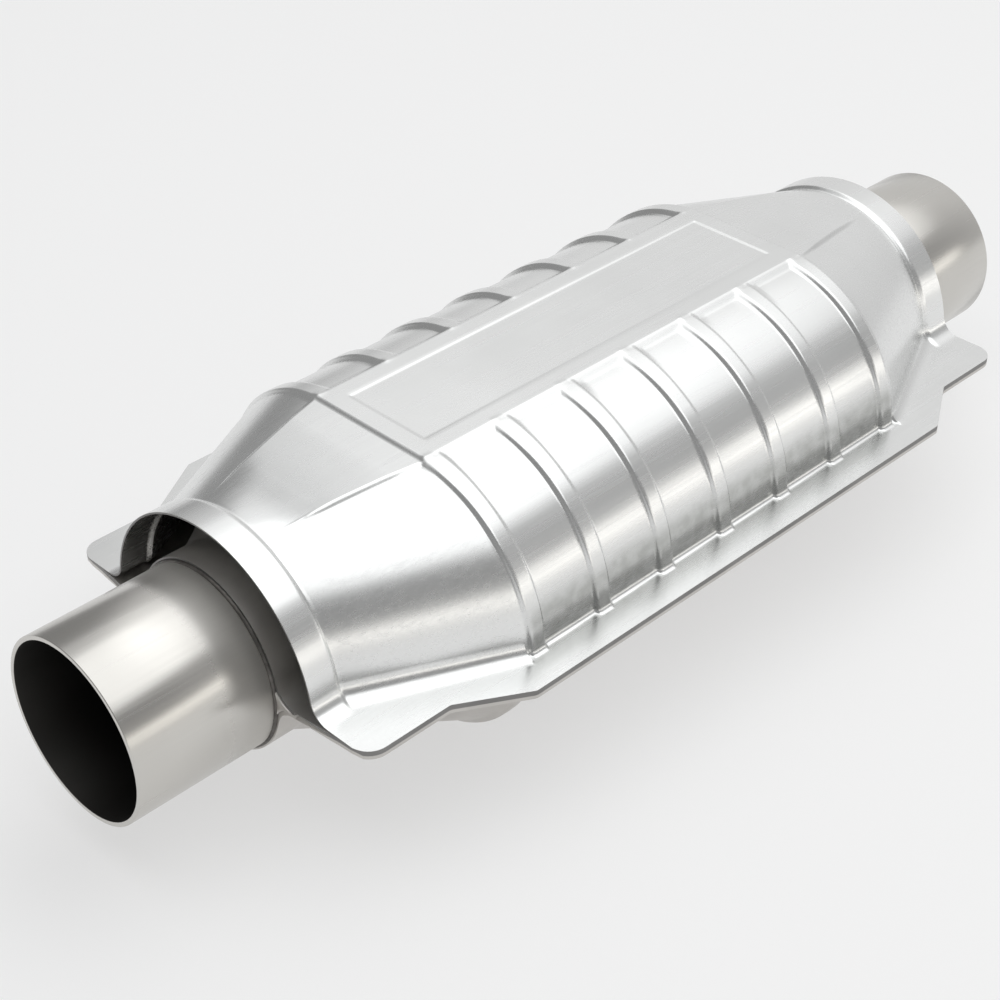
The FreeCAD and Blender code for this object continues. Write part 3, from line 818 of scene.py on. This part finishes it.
def puddled_bead(side):
    """The round bead's points and faces: each puddle's front is a crescent."""
    points = []
    for turn in range(BEAD_SIDES):
        angle = 2 * math.pi * turn / BEAD_SIDES
        for index in range(BEAD_STEPS):
            across = index / (BEAD_STEPS - 1)
            lean = math.pi / 2 * across
            lag = PUDDLE_LAG * (2 * across - 1) ** 2
            phase = (turn / BEAD_SIDES * BEAD_PUDDLES + lag) % 1.0
            swell = 1.0 + PUDDLE_SWELL * (1.0 - phase) * math.sin(math.pi * across)
            reach = BEAD_LEG * swell
            x = COLLAR_END - BEAD_SINK + reach * math.cos(lean)
            radius = NECK_RADIUS - BEAD_SEAT + reach * BEAD_SHARE * math.sin(lean)
            points.append((side * x, radius * math.cos(angle), radius * math.sin(angle)))
    return points, band_faces(BEAD_SIDES, BEAD_STEPS, joined=True)


def root_fill(side, way):
    """The weld metal between the neck and the two shells' bends, on one side of the neck."""
    bend_height = SHELL_SHEET + COLLAR_ROOT
    centre_y = math.sqrt((COLLAR_RADIUS + COLLAR_ROOT) ** 2 - bend_height ** 2)
    inner_radius = COLLAR_ROOT + SHELL_SHEET
    foot = math.atan2(bend_height, centre_y)
    upper = []
    for index in range(ROOT_STEPS + 1):
        lean = foot + (math.pi / 2 - foot) * index / ROOT_STEPS
        y = centre_y - inner_radius * math.cos(lean)
        z = bend_height - inner_radius * math.sin(lean)
        upper.append((y, z))
    lower = [(y, -z) for y, z in reversed(upper[:-1])]
    start = math.atan2(upper[0][1], upper[0][0])
    arc = []
    for index in range(1, ROOT_STEPS):
        lean = -start + 2 * start * index / ROOT_STEPS
        arc.append((NECK_RADIUS * math.cos(lean), NECK_RADIUS * math.sin(lean)))
    ring = upper + lower + arc
    middle_y, middle_z = np.mean(np.array(ring), axis=0)
    points = []
    for x, share in ROOT_RINGS:
        for ring_y, ring_z in ring:
            y = way * (middle_y + (ring_y - middle_y) * share)
            z = middle_z + (ring_z - middle_z) * share
            points.append((side * x, y, z))
    faces = band_faces(len(ROOT_RINGS), len(ring))
    faces.append(tuple(range(len(ring))))
    faces.append(tuple(range(len(points) - len(ring), len(points))))
    return points, faces


for node, side in (("inlet_neck_weld", -1.0), ("outlet_neck_weld", 1.0)):
    points, faces = puddled_bead(side)
    bead_faces = len(faces)
    for way in (-1.0, 1.0):
        more_points, more_faces = root_fill(side, way)
        faces += [tuple(index + len(points) for index in face) for face in more_faces]
        points = points + more_points
    bead = new_mesh(node + "_bead", points, faces)
    dress(bead, weld_steel, shell_steel)
    for polygon in bead.data.polygons:
        polygon.material_index = 0 if polygon.index < bead_faces else 1
    merge_doubles(bead, 0.0005)
    smooth(bead, 40.0)
    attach(bead, "root")
    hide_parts(node)

# Heat shield
# Thin bright stainless sheet, pressed with the shells' ribs, a flat top panel with a sunk field,
# and faceted tapers that end in open collars. It's welded to the upper flange.
# Painted shade on the foot of the ribbed flank, a darkened colour that stands for a darker
# reflection there, in metres: it fades in above, below and towards the tapers
PAINTED_SHADE_TOP = (0.0665, 0.0590)
PAINTED_SHADE_FOOT = (0.0496, 0.0508)
PAINTED_SHADE_ENDS = (0.0890, 0.0850)
shield_steel = steel(
    "bright_shield_steel", (0.82, 0.825, 0.82), 0.25, (16.0, 900.0, 900.0), 0.008, 22.0, 0.06
)
tree = shield_steel.node_tree
shader = tree.nodes["Principled BSDF"]
grain = tree.nodes["Group"]
away, height = axis_parts(tree)
shade_patches = texture(tree, "ShaderNodeTexNoise", Scale=260.0, Detail=4.0)
# The foot of the ribbed flank gets painted shade: its colour is darkened there, in random patches
painted_shade = ramped(tree, height, *PAINTED_SHADE_TOP)
for band in (
    ramped(tree, height, *PAINTED_SHADE_FOOT),
    ramped(tree, away, *PAINTED_SHADE_ENDS),
    ramped(tree, shade_patches.outputs["Fac"], 0.3, 0.7, 0.7, 1.0),
):
    product = tree.nodes.new("ShaderNodeMath")
    product.operation = "MULTIPLY"
    tree.links.new(painted_shade, product.inputs[0])
    tree.links.new(band, product.inputs[1])
    painted_shade = product.outputs["Value"]
# The painted shade mixes the steel's colour towards a dark grey
shade_painting_mix = tree.nodes.new("ShaderNodeMix")
shade_painting_mix.data_type = "RGBA"
tree.links.new(painted_shade, shade_painting_mix.inputs["Factor"])
bright, dim = [socket for socket in shade_painting_mix.inputs if socket.type == "RGBA"]
mixed = [socket for socket in shade_painting_mix.outputs if socket.type == "RGBA"][0]
dim.default_value = (0.46, 0.465, 0.45, 1.0)
tree.links.new(grain.outputs["Colour"], bright)
tree.links.new(mixed, shader.inputs["Base Color"])
shield_form = SimpleNamespace(
    sheet=0.6, seat=SHELL_SHEET, valley=48.6, crest=50.0, panel_half=24.0, facet_half=12.8,
    collar_start=COLLAR_START, collar_radius=44.2, crown_start=114.0,
    end=FLANGE_END, mouth_step=1.1, mouth_step_length=1.1, inlet_step_length=1.1,
    root=1.8, taper_root=5.5, collar_root=7.0,
    wall=0.6, turn=0.5, top_ease=3.4, corner_height=0.3,
    field_depth=0.26, field_half_length=80.4, field_half_width=16.9, field_wall=0.35,
    shoulder=0.7, side_slope=0.75, side_reach=8.0, taper_shoulder=1.3, taper_slope=1.3,
    metal=shield_steel, edge_metal=edge_steel_and_gap_shade, upside_down=False,
)
shield = pressed_sheet("heat_shield_pressing", shield_form, True)
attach(shield, "root")
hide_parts("heat_shield")

# Studio
# A white paper floor in a grey room with one bright side. Three softboxes hang overhead, and a
# long, low, warm one lights the near flank.
FLOOR_HALF = 30.0
corners = [(-1.0, -1.0), (1.0, -1.0), (1.0, 1.0), (-1.0, 1.0)]
floor_mesh = bpy.data.meshes.new("floor")
floor_points = [(FLOOR_HALF * x, FLOOR_HALF * y, 0.0) for x, y in corners]
floor_mesh.from_pydata(floor_points, [], [(0, 1, 2, 3)])
floor = bpy.data.objects.new("floor", floor_mesh)
bpy.context.collection.objects.link(floor)
paper, tree, shader = new_material("white_paper")
shader.inputs["Base Color"].default_value = (0.88, 0.88, 0.88, 1.0)
shader.inputs["Roughness"].default_value = 0.9
shader.inputs["Specular IOR Level"].default_value = 0.2
# The paper glows for what the camera sees, straight or in the metal
PAPER_GLOW = 0.52
rays = tree.nodes.new("ShaderNodeLightPath")
seen = rays.outputs["Is Camera Ray"]
for ray in ("Is Glossy Ray", "Is Transmission Ray"):
    either = tree.nodes.new("ShaderNodeMath")
    either.operation = "MAXIMUM"
    tree.links.new(seen, either.inputs[0])
    tree.links.new(rays.outputs[ray], either.inputs[1])
    seen = either.outputs["Value"]
share = tree.nodes.new("ShaderNodeMath")
share.operation = "MULTIPLY"
share.inputs[1].default_value = PAPER_GLOW
tree.links.new(seen, share.inputs[0])
white = tree.nodes.new("ShaderNodeEmission")
white.inputs["Strength"].default_value = 1.0
blend = tree.nodes.new("ShaderNodeMixShader")
tree.links.new(share.outputs["Value"], blend.inputs["Fac"])
tree.links.new(shader.outputs["BSDF"], blend.inputs[1])
tree.links.new(white.outputs["Emission"], blend.inputs[2])
tree.links.new(blend.outputs["Shader"], tree.nodes["Material Output"].inputs["Surface"])
floor_mesh.materials.append(paper)

world = bpy.data.worlds.new("room")
bpy.context.scene.world = world
world.use_nodes = True
tree = world.node_tree
coordinate = tree.nodes.new("ShaderNodeTexCoord")
# Each gradient's direction, where it starts and ends, and its lowest value
ROOM_GRADIENTS = (((1.0, 0.0, 0.3), 0.45, 0.68, 0.0), ((0.0, 1.0, 0.0), -0.7, 0.2, 0.28))
gradients = []
for way, start, end, lowest in ROOM_GRADIENTS:
    along = tree.nodes.new("ShaderNodeVectorMath")
    along.operation = "DOT_PRODUCT"
    along.inputs[1].default_value = way
    tree.links.new(coordinate.outputs["Generated"], along.inputs[0])
    gradients.append(ramped(tree, along.outputs["Value"], start, end, lowest))
window = tree.nodes.new("ShaderNodeMath")
window.operation = "MULTIPLY"
for gradient, socket in zip(gradients, window.inputs):
    tree.links.new(gradient, socket)
walls = tree.nodes.new("ShaderNodeMapRange")
walls.inputs["To Min"].default_value = 0.30
walls.inputs["To Max"].default_value = 0.79
tree.links.new(window.outputs["Value"], walls.inputs["Value"])
tree.links.new(walls.outputs["Result"], tree.nodes["Background"].inputs["Color"])


def softbox(name, place, target, width, height, radiance, colour, turn=0.0):
    """Hangs a rectangular area lamp that faces a target, turned about its own line of light."""
    lamp = bpy.data.lights.new(name, "AREA")
    lamp.shape = "RECTANGLE"
    lamp.size = width
    lamp.size_y = height
    lamp.energy = radiance * width * height * math.pi
    lamp.color = colour
    box = bpy.data.objects.new(name, lamp)
    box.location = place
    away = Vector(place) - Vector(target)
    facing = away.to_track_quat("Z", "Y").to_matrix() @ Matrix.Rotation(math.radians(turn), 3, "Z")
    box.rotation_euler = facing.to_euler()
    box.visible_camera = False
    bpy.context.collection.objects.link(box)


COOL = (0.985, 0.995, 1.0)
WARM = (1.0, 0.975, 0.93)
# The overhead softboxes face straight down, all turned by the same angle
TURN = 16.0
for name, x, y, z, width, height, radiance in (
    ("overhead_softbox", 0.45, 0.02, 1.5, 2.5, 2.7, 0.40),
    ("key_softbox", 0.250, -0.400, 1.48, 2.05, 2.05, 0.42),
    ("inlet_softbox", -0.01, -0.470, 1.46, 1.55, 2.05, 0.36),
):
    softbox(name, (x, y, z), (x, y, 0.0), width, height, radiance, COOL, TURN)
softbox("low_softbox", (0.6, -1.95, 0.33), (0.1, 0.0, 0.10), 3.6, 0.40, 1.22, WARM)

camera = bpy.data.cameras.new("camera")
camera.lens = 74.285
camera.sensor_width = 36.0
camera.clip_start = 0.01
viewer = bpy.data.objects.new("camera", camera)
viewer.location = (-0.42185, -0.39290, 0.43561)
viewer.rotation_euler = (math.radians(54.6118), math.radians(0.0988), math.radians(-44.8305))
bpy.context.collection.objects.link(viewer)
bpy.context.scene.camera = viewer
bpy.context.scene.view_settings.view_transform = "Standard"
